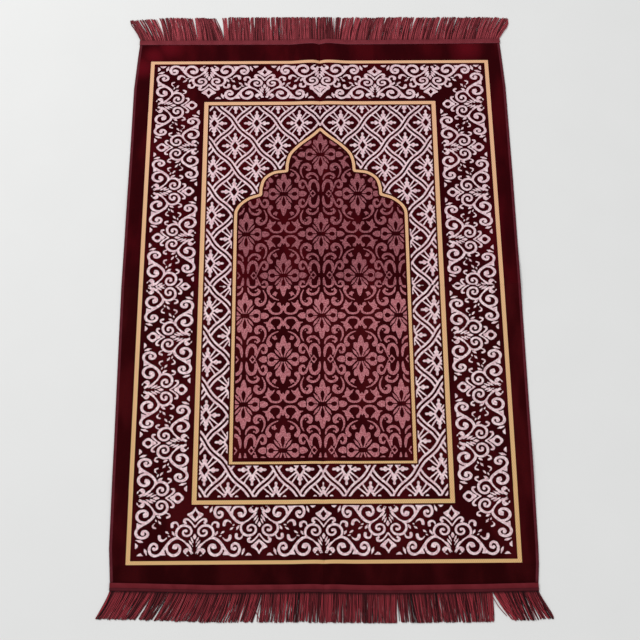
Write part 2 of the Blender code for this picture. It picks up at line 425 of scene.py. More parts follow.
def draw_scroll_leaves(art):
    art.shape([(46.2, 5.4), (56.0, 5.4), (50.0, 14.6)])
    art.leaf((39.4, 37.6), (45.0, 39.8), 2.8)
    art.leaf((42.4, 42.6), (49.4, 47.8), 3.8)
    art.leaf((33.4, 39.4), (37.8, 47.8), 4.2)
    art.curve([(4.8, 7.4), (7.6, 13.2), (12.6, 16.0), (16.2, 12.6), (14.4, 8.4)], (1.4, 2.8, 3.8, 4.2, 3.0))
    art.dot((12.8, 12.4), 2.3)
    art.leaf((8.6, 4.0), (13.4, 6.2), 2.4)
    art.shape([(0.0, 31.8), (3.2, 37.8), (0.0, 43.8), (-3.2, 37.8)])
    art.leaf((3.8, 15.4), (12.8, 27.4), 3.8)
    art.leaf((2.6, 20.6), (9.8, 32.8), 3.8)
    art.leaf((1.9, 26.6), (6.6, 37.6), 3.4)
    art.leaf((78.0, 5.6), (82.0, 18.2), 4.8)
    art.shape([(82.6, 4.4), (94.4, 4.4), (91.2, 8.2), (87.6, 9.6)])


def draw_slim_hooks(art):
    """The hooks beside a scroll of the side strips: thinner, with smaller ends."""
    art.curve([(46.8, 36.8), (50.6, 33.6), (54.2, 34.0), (56.2, 38.2)], (1.2, 2.0, 3.0, 2.6))
    art.curve([(28.0, 56.4), (30.6, 61.0), (34.4, 61.6), (36.4, 57.6)], (1.6, 2.6, 3.4, 3.8))
    under = [(0.2, 54.4), (4.0, 60.2), (8.4, 65.0), (12.6, 67.8), (16.4, 67.0), (17.0, 63.8)]
    art.curve(under, (2.4, 2.4, 2.8, 3.8, 3.8, 3.0))


def draw_full_hooks(art):
    """The hooks beside a scroll of the end strips."""
    beside = [(45.8, 36.2), (49.2, 32.4), (53.6, 31.0), (57.2, 33.8), (58.2, 38.6)]
    art.curve(beside, (1.4, 2.6, 4.4, 5.6, 5.2))
    crook = [(27.4, 56.4), (29.4, 61.4), (33.8, 62.8), (37.8, 60.0), (37.6, 55.4)]
    art.curve(crook, (1.8, 3.2, 4.0, 4.8, 5.2))
    under = [(0.2, 54.4), (4.0, 60.2), (8.4, 65.4), (13.0, 68.4), (17.0, 67.6), (17.8, 63.8), (15.2, 61.8)]
    art.curve(under, (2.6, 2.6, 3.0, 4.4, 4.8, 3.4))


def draw_palmette(art):
    """A veined leaf, for the scrolls that stand on the outer gold at the far end."""
    art.shape([
        (0.0, 91.5), (5.2, 84.0), (10.2, 78.0), (14.4, 72.0), (19.4, 69.6), (19.0, 64.6), (14.0, 64.8),
        (9.8, 62.0), (6.0, 59.2), (3.0, 61.6), (0.0, 57.8), (-5.0, 62.0), (-5.0, 84.0),
    ])
    art.hole([(0.0, 85.4), (2.3, 77.4), (0.0, 68.4), (-2.3, 77.4)])
    art.hole([(3.6, 79.6), (9.0, 71.4), (14.6, 68.2), (12.6, 66.6), (7.4, 68.8), (2.8, 74.8)])
    art.hole([(0.0, 66.4), (5.6, 63.4), (4.4, 62.0), (0.0, 63.6)])


def draw_kite_finial(art):
    art.shape([
        (0.0, 90.8), (2.2, 86.6), (5.0, 82.6), (8.6, 80.2), (13.2, 78.0), (13.4, 75.8), (9.0, 71.4),
        (4.6, 67.6), (0.0, 63.4), (-5.0, 67.6), (-5.0, 84.0),
    ])
    art.hole([(0.0, 84.0), (4.9, 76.2), (0.0, 68.6), (-4.9, 76.2)])


def draw_ring_finial(art):
    art.shape([
        (0.0, 85.6), (3.4, 84.2), (9.4, 78.2), (10.6, 75.0), (9.4, 71.6), (4.8, 67.0), (2.2, 62.4),
        (0.0, 60.8), (-3.0, 62.4), (-5.0, 75.0), (-3.0, 84.2),
    ])
    art.hole([(0.0, 80.8), (3.8, 79.0), (5.6, 75.0), (3.8, 71.2), (0.0, 69.4), (-5.0, 71.2), (-5.0, 79.0)])


@functools.lru_cache(maxsize=None)
def draw_rosette():
    """A quarter of the rosette in a lattice cell."""
    art = Drawing((0, 40), (0, 50))
    art.shape([
        (9.4, 0.0), (6.4, 5.8), (3.4, 11.2), (0.0, 15.6), (-7.0, 7.0), (-7.0, -7.0), (0.0, -15.6),
        (6.4, -5.8),
    ])
    spade = [
        (-2, 11), (0, 11), (3.8, 12.2), (3.2, 14.4), (5.2, 17.4), (3.2, 18.8), (1.8, 20.6), (1.7, 22.4),
        (2.6, 24.6), (1.8, 27.2), (0, 28.2), (-2, 28.2),
    ]
    art.shape(spade)
    side = [
        (7.5, -1), (7.5, 1.8), (10.8, 1.6), (12.4, 3.8), (15.6, 4.9), (17.0, 2.8), (18.4, 1.8), (20.6, 2.6),
        (23.0, 2.0), (24.6, 0.0), (23.0, -1.0),
    ]
    art.shape(side)
    art.line([(4.4, 9.4), (9.2, 16.2), (13.8, 23.8)], (3.0, 2.6, 2.4))
    art.line([(7.0, 5.2), (13.2, 10.6), (21.0, 17.4)], (3.0, 2.6, 2.4))
    art.hole([(0.0, 9.2), (5.8, 0.0), (0.0, -9.2), (-5.8, 0.0)])
    return art


@functools.lru_cache(maxsize=None)
def draw_damask():
    """A quarter of the field's repeat: a floret in two of its corners, knots in the others."""
    art = Drawing((-2, 70), (-2, 84))
    corners = ((0.0, 0.0, 1), (*FLORET_HALF, -1))
    for corner_x, corner_y, way in corners:
        draw_floret(art, lambda x, y: (corner_x + way * x, corner_y + way * y))
    for corner_x, corner_y, way in corners:
        cut_floret(art, lambda x, y: (corner_x + way * x, corner_y + way * y))
    draw_petal_knot(art, lambda x, y: (FLORET_HALF[0] - x, y))
    draw_ring_knot(art, lambda x, y: (x, FLORET_HALF[1] - y))
    draw_sprays(art)
    return art


def draw_floret(art, at):
    fleur = [
        (-2, 4.0), (2.6, 4.0), (5.0, 11.0), (8.4, 16.6), (12.8, 22.0), (13.2, 26.6), (12.2, 31.6),
        (8.6, 32.2), (6.6, 29.6), (5.0, 33.6), (4.2, 38.4), (2.2, 43.6), (0.0, 46.6), (-2, 46),
    ]
    art.shape([at(*point) for point in fleur])
    lobe = [
        (7.0, -2), (7.4, 1.8), (12.6, 7.4), (16.8, 12.2), (22.2, 12.8), (26.2, 10.2), (27.4, 7.0),
        (29.4, 5.0), (33.0, 6.4), (37.6, 5.2), (41.0, 2.6), (42.6, 0.0), (42.6, -2),
    ]
    art.shape([at(*point) for point in lobe])
    art.leaf(at(4.6, 4.4), at(15.8, 20.0), 4.6)


def cut_floret(art, at):
    for slit in (
        [(-3, -3), (0.5, -3), (0.7, 6.0), (2.8, 12.6), (3.8, 18.6), (2.4, 23.6), (0.0, 26.2), (-3, 25)],
        [(-3, -3), (-3, 1.0), (14.6, 1.0), (17.0, 4.0), (21.6, 4.6), (24.6, 2.0), (25.2, -3)],
        [(28.2, -3), (27.0, -3), (26.6, 2.0), (28.0, 7.4), (29.2, 7.0), (28.2, 2.4)],
        [(-3, -3), (4.4, -3), (4.4, 0.6), (3.2, 2.6), (1.4, 3.6), (-3, 4.0)],
    ):
        art.hole([at(*point) for point in slit])


def draw_petal_knot(art, at):
    """Four ringed petals with hooks over them, round the dark heart between two sprays."""
    petal = [
        at(4.2, 5.4), at(4.6, 13.0), at(6.4, 21.6), at(11.8, 27.2), at(17.8, 25.0), at(20.4, 16.8),
        at(18.8, 8.2),
    ]
    art.curve(petal, (2.4, 5.0, 5.6, 6.4, 5.8, 5.2, 2.0))
    over = [at(4.6, 29.4), at(7.0, 37.0), at(13.4, 42.2), at(20.6, 41.8), at(25.0, 36.8), at(22.4, 32.2)]
    art.curve(over, (2.0, 4.0, 4.6, 5.0, 5.0, 3.4))
    art.dot(at(18.8, 34.2), 1.6)
    art.line([at(9.8, 0.0), at(14.6, 6.2), at(19.4, 0.0)], (1.8, 2.8, 1.8))
    beside = [
        at(20.6, 3.4), at(24.4, 14.6), at(28.8, 24.6), at(34.2, 27.4), at(38.2, 22.0), at(37.4, 14.6),
        at(32.6, 12.4), at(30.2, 16.4),
    ]
    art.curve(beside, (1.6, 2.8, 4.4, 5.2, 5.4, 5.0, 4.0, 2.2))


def draw_ring_knot(art, at):
    """Four open rings with a pointed leaf on each, round a dark heart."""
    ring = [
        at(7.0, 21.0), at(3.6, 16.0), at(3.2, 9.0), at(7.0, 4.9), at(14.0, 3.9), at(20.6, 5.9),
        at(24.4, 11.6),
    ]
    art.curve(ring, (4.6, 4.0, 3.8, 3.8, 3.8, 4.2, 4.8))
    leaf = [
        at(35.6, 12.4), at(29.4, 16.6), at(30.2, 20.4), at(27.2, 24.0), at(25.6, 32.0), at(22.2, 26.0),
        at(19.0, 24.4), at(13.4, 27.6), at(16.6, 20.8), at(20.8, 16.2), at(24.6, 11.8),
    ]
    art.shape(leaf)
    art.dot(at(7.8, 22.6), 3.3)
    art.leaf(at(0.0, 10.6), at(0.0, 21.4), 5.4)


def draw_sprays(art):
    comma = [(8.6, 53.4), (17.4, 49.6), (24.4, 42.2), (26.8, 34.2), (23.6, 27.8)]
    art.curve(comma, (1.6, 2.8, 3.6, 5.6, 8.6))
    art.shape([
        (10.0, 39.2), (12.4, 42.2), (13.6, 46.4), (16.6, 43.4), (19.8, 43.6), (18.4, 39.4), (14.6, 36.6),
    ])
    hook = [
        (35.8, 34.2), (31.8, 43.4), (31.6, 53.0), (35.8, 60.4), (42.2, 62.4), (47.2, 57.8), (46.4, 51.4),
        (42.0, 51.2),
    ]
    art.curve(hook, (1.6, 3.0, 3.8, 5.2, 6.6, 7.4, 6.4, 3.4))
    art.dot((38.6, 55.6), 1.2)


def arch_outline():
    """The closed outer edge of the arch: straight sides, two lobes a side and a pointed tip."""
    shoulder = [
        (ARCH_HALF_WIDTH, 0.1470), (0.1570, 0.1620), (0.1490, 0.1765), (0.1325, 0.1900), (0.1128, 0.1973),
    ]
    lobe = [(0.1128, 0.1973), (0.1118, 0.2120), (0.1053, 0.2310), (0.0875, 0.2445), (0.0648, 0.2483)]
    ogee = [
        (0.0648, 0.2483), (0.0636, 0.2650), (0.0571, 0.2850), (0.0398, 0.3045), (0.0170, 0.3235),
        (0.0, 0.3412),
    ]
    right = [(ARCH_HALF_WIDTH, ARCH_FOOT)]
    for run in (shoulder, lobe, ogee):
        right += smooth_line(run)
    return right + [(-x, y) for x, y in reversed(right)]


def woven_place(y):
    """Place along the figure as woven: the cross crease swallows a little of it."""
    return y + np.where(y > CROSS_CREASE, FOLD_TAKE, 0.0)


def scroll_strip(standing, hanging, up, along, width, pitch, turns, place):
    """A run of scrolls that stand on the outer gold and hang from the inner by turns.

    up and along are in mm from the outer gold and from scroll 0's axis; turns are the first and last.
    """
    units, standing_foot, hanging_foot = SCROLL_FITS[place]
    scale_up = width / units
    scale_along = pitch / SCROLL_PITCH
    number = np.round(along / pitch)
    nearest = np.full(up.shape, 50.0)
    for turn in (number - 1, number, number + 1):
        turn = np.clip(turn, *turns)
        out = np.abs(along - turn * pitch) / scale_along
        stands = standing.read(out, up / scale_up - standing_foot)
        hangs = hanging.read(out, units - up / scale_up - hanging_foot)
        np.minimum(nearest, np.where(turn % 2, hangs, stands), out=nearest)
    return (nearest * min(scale_up, scale_along) - SCROLL_SPREADS[place]) * MM


def border_distance(x, y, hollow, inner):
    """The scroll border between the two gold frames."""
    across = np.abs(x)
    inside_x = OUTER_GOLD_HALF_WIDTH - OUTER_GOLD_LINES[0]
    inside_front = OUTER_GOLD_ENDS[0] + OUTER_GOLD_LINES[1]
    inside_back = OUTER_GOLD_ENDS[1] - OUTER_GOLD_LINES[1]
    ring, kite, palmette = (draw_scroll(finial) for finial in ("ring", "kite", "palmette"))
    creep = np.where(x < 0, from_table(SIDE_CREEP, y, 1), from_table(SIDE_CREEP, y, 2))
    side = scroll_strip(ring, ring, (inside_x - across) / MM, (woven_place(y) - creep - SIDE_START) / MM,
                        (inside_x - INNER_GOLD_HALF_WIDTH) / MM, SIDE_PITCH / MM, SIDE_TURNS, "side")
    front = scroll_strip(kite, kite, (y - inside_front) / MM, across / MM,
                         (INNER_GOLD_ENDS[0] - inside_front) / MM, SCROLL_PITCH, END_TURNS, "front")
    back = [
        scroll_strip(standing, kite, (inside_back - y) / MM, (across + CREASE_TAKE) / MM,
                     (inside_back - INNER_GOLD_ENDS[1]) / MM, SCROLL_PITCH, END_TURNS, "back")
        for standing in (palmette, kite)
    ]
    back = np.where(across < 0.5 * SCROLL_PITCH * MM, *back)
    border = np.where(across > INNER_GOLD_HALF_WIDTH, side, 0.5)
    border = np.minimum(border, np.where(y < INNER_GOLD_ENDS[0], front, 0.5))
    border = np.minimum(border, np.where(y > INNER_GOLD_ENDS[1], back, 0.5))
    return np.maximum(border, np.maximum(FIGURE_MARGIN - inner, hollow + FIGURE_MARGIN))


def lattice_distance(x, y, hollow, arch):
    """Crossing straps with a rosette in each cell, mirrored across the rug."""
    across = -(np.abs(x) + CREASE_TAKE) / MM
    along = (woven_place(y) - LATTICE_START) / MM
    half_x, half_y = LATTICE_HALF
    rising = across / half_x + along / half_y
    falling = across / half_x - along / half_y
    reach = 1.0 / math.hypot(1 / half_x, 1 / half_y)

    def to_strap(turn, other_turn):
        off = np.mod(turn, 2.0) - 1.0
        return np.abs(off * reach - STRAP_SWAY * np.sin(math.pi * other_turn))

    middle = 0.5 * (STRAP_CHANNEL + STRAP_EDGE)
    half_line = 0.5 * (STRAP_EDGE - STRAP_CHANNEL)
    from_over = to_strap(rising, falling)
    from_under = to_strap(falling, rising)
    over = np.abs(from_over - middle) - half_line
    under = np.maximum(np.abs(from_under - middle) - half_line, STRAP_EDGE + STRAP_GAP - from_over)
    nearest = np.minimum(over, under)
    rosette = draw_rosette()
    for shift in (0.0, 1.0):
        place_x = np.abs(np.mod(across - shift * half_x + half_x, 2 * half_x) - half_x)
        place_y = np.abs(np.mod(along - shift * half_y + half_y, 2 * half_y) - half_y)
        nearest = np.minimum(nearest, rosette.read(place_x, place_y))
    lattice = np.maximum(nearest * MM, hollow + FIGURE_MARGIN)
    lattice = np.maximum(lattice, INNER_GOLD_ENDS[0] + INNER_GOLD_LINES[1] + NEAR_MARGIN - y)
    return np.maximum(lattice, FIGURE_MARGIN - arch)


def damask_distance(x, y, arch):
    """The field's florets and scrolls, mirrored both ways."""
    half_x, half_y = FLORET_HALF
    place_x = np.abs(np.mod(x / MM, 2 * half_x) - half_x)
    place_y = np.abs(np.mod((woven_place(y) - FLORET_START) / MM + half_y, 2 * half_y) - half_y)
    damask = (draw_damask().read(place_x, place_y) - DAMASK_SPREAD) * MM
    damask = np.maximum(damask, ARCH_FOOT + ARCH_LINE + NEAR_MARGIN - y)
    return np.maximum(damask, arch + ARCH_LINE + FIGURE_MARGIN)


def gold_frame(x, y, half_width, ends, lines):
    """Distances to a frame's outer edge, to its hollow and to its line of gold."""
    edge = distance_to_frame(x, y, half_width, *ends)
    hollow = distance_to_frame(x, y, half_width - lines[0], ends[0] + lines[1], ends[1] - lines[1])
    return edge, hollow, np.maximum(edge, -hollow)


def figure_distances(x, y):
    """Distances to the white, gold and rose yarns, negative where each shows."""
    past_inner = (np.abs(x) - INNER_GOLD_HALF_WIDTH) / (OUTER_GOLD_HALF_WIDTH - INNER_GOLD_HALF_WIDTH)
    x = x - np.sign(x) * np.clip(past_inner, 0.0, 1.0) * OUTER_SWELL * (1.0 - (y / OUTER_GOLD_ENDS[1]) ** 2)
    outer, border_hollow, gold = gold_frame(x, y, OUTER_GOLD_HALF_WIDTH, OUTER_GOLD_ENDS, OUTER_GOLD_LINES)
    inner, lattice_hollow, line = gold_frame(x, y, INNER_GOLD_HALF_WIDTH, INNER_GOLD_ENDS, INNER_GOLD_LINES)
    gold = np.minimum(gold, line)
    arch = distance_to_outline(x, y, arch_outline())
    foot = np.where(np.abs(x) < ARCH_HALF_WIDTH - ARCH_LINE, y - ARCH_FOOT - ARCH_FOOT_LINE, -0.01)
    line = np.maximum(arch, -arch - ARCH_LINE)
    line = np.where(y < ARCH_FOOT + ARCH_LINE, np.maximum(line, foot), line)
    gold = np.minimum(gold, line)
    border = border_distance(x, y, border_hollow, inner)
    white = np.minimum(border, lattice_distance(x, y, lattice_hollow, arch))
    return white, gold, damask_distance(x, y, arch)


# ---- materials ------------------------------------------------------------------------------

MIX_A, MIX_B, MIX_RESULT = 6, 7, 2    # the colour sockets of a Mix node
BAND_TURN = 2 * math.pi / 20          # scale of a straight Wave node, times its pitch in metres
TWILL_TURN = 2 * math.pi / 11.8       # the same for the slanted bands of the gold yarn
PLY_TURN = 2 * math.pi / 13.5         # and of the fringe yarn
TWILL_PITCH = 0.0028
PLY_PITCH = 0.0030


def srgb(code):
    """A linear colour from an sRGB hex code."""
    channels = [int(code[start:start + 2], 16) / 255 for start in (1, 3, 5)]
    linear = [c / 12.92 if c <= 0.04045 else ((c + 0.055) / 1.055) ** 2.4 for c in channels]
    return (*linear, 1.0)


def add_node(tree, kind, inputs=None, **settings):
    """Add a node; each input takes a value, or the output that feeds it."""
    node = tree.nodes.new(kind)
    for name, value in settings.items():
        setattr(node, name, value)
    for name, value in (inputs or {}).items():
        if isinstance(value, bpy.types.NodeSocket):
            tree.links.new(value, node.inputs[name])
        else:
            node.inputs[name].default_value = value
    return node


def new_material(name, roughness, specular=0.12, sheen=0.0, sheen_roughness=0.4, sheen_tint="#ffffff"):
    """A cloth material with its steady values set on the shader itself."""
    material = bpy.data.materials.new(name)
    material.use_nodes = True
    tree = material.node_tree
    shader = tree.nodes["Principled BSDF"]
    shader.inputs["Roughness"].default_value = roughness
    shader.inputs["Specular IOR Level"].default_value = specular
    shader.inputs["Sheen Weight"].default_value = sheen
    shader.inputs["Sheen Roughness"].default_value = sheen_roughness
    shader.inputs["Sheen Tint"].default_value = srgb(sheen_tint)
    place = add_node(tree, "ShaderNodeTexCoord").outputs["Object"]
    return material, tree, shader, place


def mixed(tree, share, start, stop, blend="MIX"):
    """A colour between two others; each part may be a value or an output."""
    return add_node(tree, "ShaderNodeMix", {
        0: share, MIX_A: start, MIX_B: stop,
    }, data_type="RGBA", blend_type=blend).outputs[MIX_RESULT]


def ranged(tree, value, low, high, to_low=0.0, to_high=1.0, soft=False):
    """A value taken from one range to another and held at its ends."""
    return add_node(tree, "ShaderNodeMapRange", {
        "Value": value, "From Min": low, "From Max": high, "To Min": to_low, "To Max": to_high,
    }, interpolation_type="SMOOTHSTEP" if soft else "LINEAR").outputs["Result"]


def ranged_y(tree, place, low, high, to_low=0.0, to_high=1.0, soft=False):
    """A value that follows the place along the rug."""
    apart = add_node(tree, "ShaderNodeSeparateXYZ", {"Vector": place})
    return ranged(tree, apart.outputs["Y"], low, high, to_low, to_high, soft)


def noise(tree, place, scale, detail, roughness=0.5):
    return add_node(tree, "ShaderNodeTexNoise", {
        "Vector": place, "Scale": scale, "Detail": detail, "Roughness": roughness,
    }).outputs


def bands(tree, place, scale, direction, distortion, detail=1.0):
    return add_node(tree, "ShaderNodeTexWave", {
        "Vector": place, "Scale": scale, "Distortion": distortion, "Detail": detail,
    }, wave_type="BANDS", bands_direction=direction).outputs["Fac"]


def scaled(tree, place, scale):
    return add_node(tree, "ShaderNodeMapping", {"Vector": place, "Scale": scale}).outputs["Vector"]


def dress(tree, shader, colour, height, strength, depth):
    """Give a shader its colour, and a bump from a height."""
    tree.links.new(colour, shader.inputs["Base Color"])
    bump = add_node(tree, "ShaderNodeBump", {"Height": height, "Strength": strength, "Distance": depth})
    tree.links.new(bump.outputs["Normal"], shader.inputs["Normal"])


def past_crease(tree, place):
    """0 in front of the cross crease and 1 behind it, where the pile lies the other way; the light it
    catches there is painted into the yarns' colours.
    """
    return ranged_y(tree, place, CROSS_CREASE - 0.006, CROSS_CREASE + 0.010, soft=True)


def painted_highlight(tree, place):
    """1 where a soft highlight is painted on the velvet, 0 elsewhere."""
    highlight_mask = 0.0
    for x, y, reach in SHEEN_HIGHLIGHT_PATCHES:
        apart = add_node(tree, "ShaderNodeVectorMath", {0: place, 1: (x, y, 0.0)}, operation="DISTANCE")
        patch = ranged(tree, apart.outputs["Value"], reach, 0.1 * reach, soft=True)
        joined = add_node(tree, "ShaderNodeMath", {0: patch, 1: highlight_mask}, operation="MAXIMUM")
        highlight_mask = joined.outputs["Value"]
    return highlight_mask


def velvet_material():
    """Cut viscose velvet: near black, with wine red blotches of painted sheen where the pile leans away
    from the eye.
    """
    material, tree, shader, place = new_material(
        "cut_pile_velvet", 0.92, specular=0.03, sheen=0.05, sheen_roughness=0.32, sheen_tint="#c02038")
    patches = noise(tree, scaled(tree, place, (1.0, 0.35, 1.0)), 17.0, 3.0, 0.55)
    # painted sheen: noise blotches mix the velvet towards a lighter wine red
    sheen_blotches = ranged(tree, patches["Fac"], 0.42, 0.66, soft=True)
    front = mixed(tree, sheen_blotches, srgb("#2e0306"), srgb("#40090d"))
    back = mixed(tree, sheen_blotches, srgb("#2e0206"), srgb("#42050b"))
    # painted sheen and shade: the velvet takes its second pair of colours behind the cross crease
    crease_light_and_shade = mixed(tree, past_crease(tree, place), front, back)
    # painted highlight: the velvet turns a lighter wine red in these patches
    highlighted = mixed(tree, painted_highlight(tree, place), crease_light_and_shade, srgb("#560913"))
    flecked = mixed(tree, 0.35, highlighted, noise(tree, place, 420.0, 2.0)["Color"], "SOFT_LIGHT")
    # painted shade: the velvet's front margin, ahead of the outer gold, is darkened to 0.72 of its colour
    front_margin_shade = ranged_y(tree, place, OUTER_GOLD_ENDS[0] - 0.004, OUTER_GOLD_ENDS[0] + 0.004, 0.72, 1.0)
    shaded = mixed(tree, 1.0, flecked, front_margin_shade, "MULTIPLY")
    dress(tree, shader, shaded, noise(tree, place, 900.0, 1.0)["Fac"], 0.5, 0.0006)
    return material


def flat_yarn_material(name, near_codes, far_codes, roughness, fleck, grain):
    """Flat woven yarn: matt, with a rib for each weft and a little unevenness from yarn to yarn."""
    material, tree, shader, place = new_material(name, roughness, specular=0.2)
    spread = ranged(tree, noise(tree, place, grain, 2.0)["Fac"], 0.35, 0.65)
    near = mixed(tree, spread, srgb(near_codes[0]), srgb(near_codes[1]))
    far = mixed(tree, spread, srgb(far_codes[0]), srgb(far_codes[1]))
    # painted light and shade: each yarn takes its second pair of colours behind the cross crease
    crease_light_and_shade = mixed(tree, past_crease(tree, place), near, far)
    knots = add_node(tree, "ShaderNodeTexVoronoi", {"Vector": place, "Scale": 1.0 / CELL}, feature="F1")
    pitted = ranged(tree, knots.outputs["Distance"], 0.35, 0.80, 1.0, 1.0 - fleck)
    weft = bands(tree, place, BAND_TURN / CELL, "Y", 0.6)
    dress(tree, shader, mixed(tree, 1.0, crease_light_and_shade, pitted, "MULTIPLY"), weft, 0.35, 0.0004)
    return material


def gold_yarn_material():
    """Gold viscose in a steep twill: slanted dashes, a shade darker between them."""
    material, tree, shader, place = new_material("gold_twill_yarn", 0.55, specular=0.25)
    slanted = scaled(tree, place, (1.0, -0.62, 0.0))
    dashes = bands(tree, slanted, TWILL_TURN / TWILL_PITCH, "DIAGONAL", 0.5)
    # painted light: the gold is painted lighter towards the back end of the rug
    along = ranged_y(tree, place, -0.45, 0.35)
    light = mixed(tree, along, srgb("#eec68c"), srgb("#eebe94"))
    dark = mixed(tree, along, srgb("#b8864e"), srgb("#d8a07a"))
    dress(tree, shader, mixed(tree, dashes, dark, light), dashes, 0.15, 0.0004)
    return material


def ribbed_material(name, dark, light, pitch, direction, roughness=0.75):
    """Plain polyester weave with a fine rib, a little worn and uneven along its length."""
    material, tree, shader, place = new_material(
        name, roughness, specular=0.10, sheen=0.04, sheen_tint="#e08088")
    ribs = bands(tree, place, BAND_TURN / pitch, direction, 0.8)
    worn = noise(tree, place, 60.0, 3.0)["Fac"]
    both = add_node(tree, "ShaderNodeMath", {0: ribs, 1: worn}, operation="MULTIPLY")
    spread = ranged(tree, both.outputs["Value"], 0.05, 0.55)
    dress(tree, shader, mixed(tree, spread, srgb(dark), srgb(light)), ribs, 0.4, 0.0003)
    return material


def backing_material():
    """Plain jute-and-polyester ground, guessed for the unseen underside: dull wine red."""
    return ribbed_material("woven_backing", "#3a0c18", "#6a2a38", 0.0022, "X", 0.9)


def fringe_material():
    """Loosely plied rayon yarn: soft shine along the strand, a slanted shade for each ply."""
    material, tree, shader, place = new_material(
        "plied_fringe_yarn", 0.62, specular=0.14, sheen=0.06, sheen_tint="#e08890")
    slanted = scaled(tree, place, (1.0, 0.9, 0.0))
    plies = bands(tree, slanted, PLY_TURN / PLY_PITCH, "DIAGONAL", 1.5, 2.0)
    strands = add_node(tree, "ShaderNodeAttribute", attribute_name="shade").outputs["Fac"]
    # painted light: the back fringe is a lighter copy of the front fringe's colours
    front = mixed(tree, strands, srgb("#260004"), srgb("#a43640"))
    back = mixed(tree, strands, srgb("#480911"), srgb("#be4e58"))
    end = mixed(tree, ranged_y(tree, place, -0.5, 0.5), front, back)
    plied = mixed(tree, 1.0, end, ranged(tree, plies, 0.0, 1.0, 0.62, 1.18), "MULTIPLY")
    dress(tree, shader, plied, plies, 0.6, 0.0003)
    return material


def plain_material(name, code, roughness):
    material, tree, shader, place = new_material(name, roughness)
    grain = noise(tree, place, 8.0, 2.0)["Fac"]
    tree.links.new(mixed(tree, 0.03, srgb(code), grain), shader.inputs["Base Color"])
    return material


# ---- the cloth ------------------------------------------------------------------------------

PILE, WHITE, GOLD, ROSE, HEM, BACKING = range(6)
MARGIN_ROWS = 5              # of coarse knots between the figure and the cloth's ends
MARGIN_COLUMNS = 5
UNDER_STEP = 10              # knots of the upper side to one of the underside


def quarter_places(side, end):
    """Where the knots of a quarter lie: x, y, thickness over the underside, and the fine counts.

    Rows and columns run from the creases outwards: fine ones under the figure, a few across the
    plain margin, then the lines of the hem and of the strip under the tape.
    """
    fine_x = int(round(FIGURE_HALF_WIDTH / CELL))
    fine_y = int(round((FIGURE_HALF_LENGTH - end * CROSS_CREASE) / CELL))
    y_fine = CROSS_CREASE + end * CELL * np.arange(fine_y + 1)
    y_last = y_fine[-1]
    pile_end = NOMINAL_HALF_LENGTH - TAPE_WIDTHS[end] - SEAM_GAP - BOUND_STEP
    margin = np.linspace(0.0, 1.0, MARGIN_ROWS + 1)[1:]
    tail = np.array([TAPE_WIDTHS[end] + SEAM_GAP, TAPE_TUCK])
    nominal = np.concatenate([
        y_fine, y_last + margin * (end * pile_end - y_last), end * (NOMINAL_HALF_LENGTH - tail),
    ])
    reach = side_reach(nominal, side)[:, None]
    x_fine = CELL * np.arange(fine_x + 1)
    pile_edge = reach - HEM_WIDTH - HEM_BEVEL
    spread = np.linspace(0.0, 1.0, MARGIN_COLUMNS + 1)[None, 1:]
    rims = (HEM_WIDTH, 0.5 * HEM_WIDTH, EDGE_ROUND, 0.3 * EDGE_ROUND, 0.0)
    heights = (HEM_THICKNESS, HEM_THICKNESS, HEM_THICKNESS, 0.78 * HEM_THICKNESS, EDGE_HEIGHT)
    x = np.concatenate([
        np.repeat(x_fine[None, :], len(nominal), 0),
        x_fine[-1] + spread * (pile_edge - x_fine[-1]),
        *[reach - rim for rim in rims],
    ], axis=1) * side
    thickness = np.full(x.shape, PILE_THICKNESS)
    thickness[:, -len(heights):] = heights
    y = np.repeat(nominal[:, None], x.shape[1], 1)
    first = fine_y + 1
    cut = end * (end_reach(x, end) - TAPE_WIDTHS[end] - SEAM_GAP - BOUND_STEP)
    for number, share in enumerate(margin):
        y[first + number] = y_last + share * (cut[first + number] - y_last)
    for number, setback in enumerate(tail):
        row = first + len(margin) + number
        y[row] = end * (end_reach(x[row], end) - setback)
        thickness[row] = np.minimum(thickness[row], BOUND_THICKNESS)
    return x, y, thickness, fine_x, fine_y


def weave_figure(x, y, thickness, fine_x, fine_y):
    """Choose the yarn of each fine cell, move knots onto the figure's edges and sink the figure."""
    fine = (slice(0, fine_y + 1), slice(0, fine_x + 1))
    knot_x, knot_y = x[fine], y[fine]
    middle_x = 0.5 * (knot_x[:-1, :-1] + knot_x[1:, 1:])
    middle_y = 0.5 * (knot_y[:-1, :-1] + knot_y[1:, 1:])
    fields = np.stack(figure_distances(middle_x, middle_y))
    nearest = fields.min(0)
    yarn = np.where(nearest < 0, fields.argmin(0) + WHITE, PILE)

    shown = np.zeros((fine_y + 3, fine_x + 3), bool)
    shown[1:-1, 1:-1][:fine_y, :fine_x] = nearest < 0
    around = np.stack([shown[0:-2, 0:-2], shown[0:-2, 1:-1], shown[1:-1, 0:-2], shown[1:-1, 1:-1]])
    touches = around.any(0)
    on_edge = touches & ~around.all(0)
    on_edge[0, :] = on_edge[-1, :] = on_edge[:, 0] = on_edge[:, -1] = False

    at_knots = np.stack(figure_distances(knot_x, knot_y)).min(0)
    slope_y, slope_x = np.gradient(at_knots)
    slope_x = slope_x / np.gradient(knot_x, axis=1)
    slope_y = slope_y / np.gradient(knot_y, axis=0)
    steep = np.maximum(np.hypot(slope_x, slope_y), 0.3)
    move = np.where(on_edge, -at_knots / steep, 0.0)
    move = np.clip(move, -SNAP * CELL, SNAP * CELL) / steep
    x[fine] += move * slope_x
    y[fine] += move * slope_y
    thickness[fine] -= np.where(touches, FIGURE_SINK, 0.0)
    return yarn


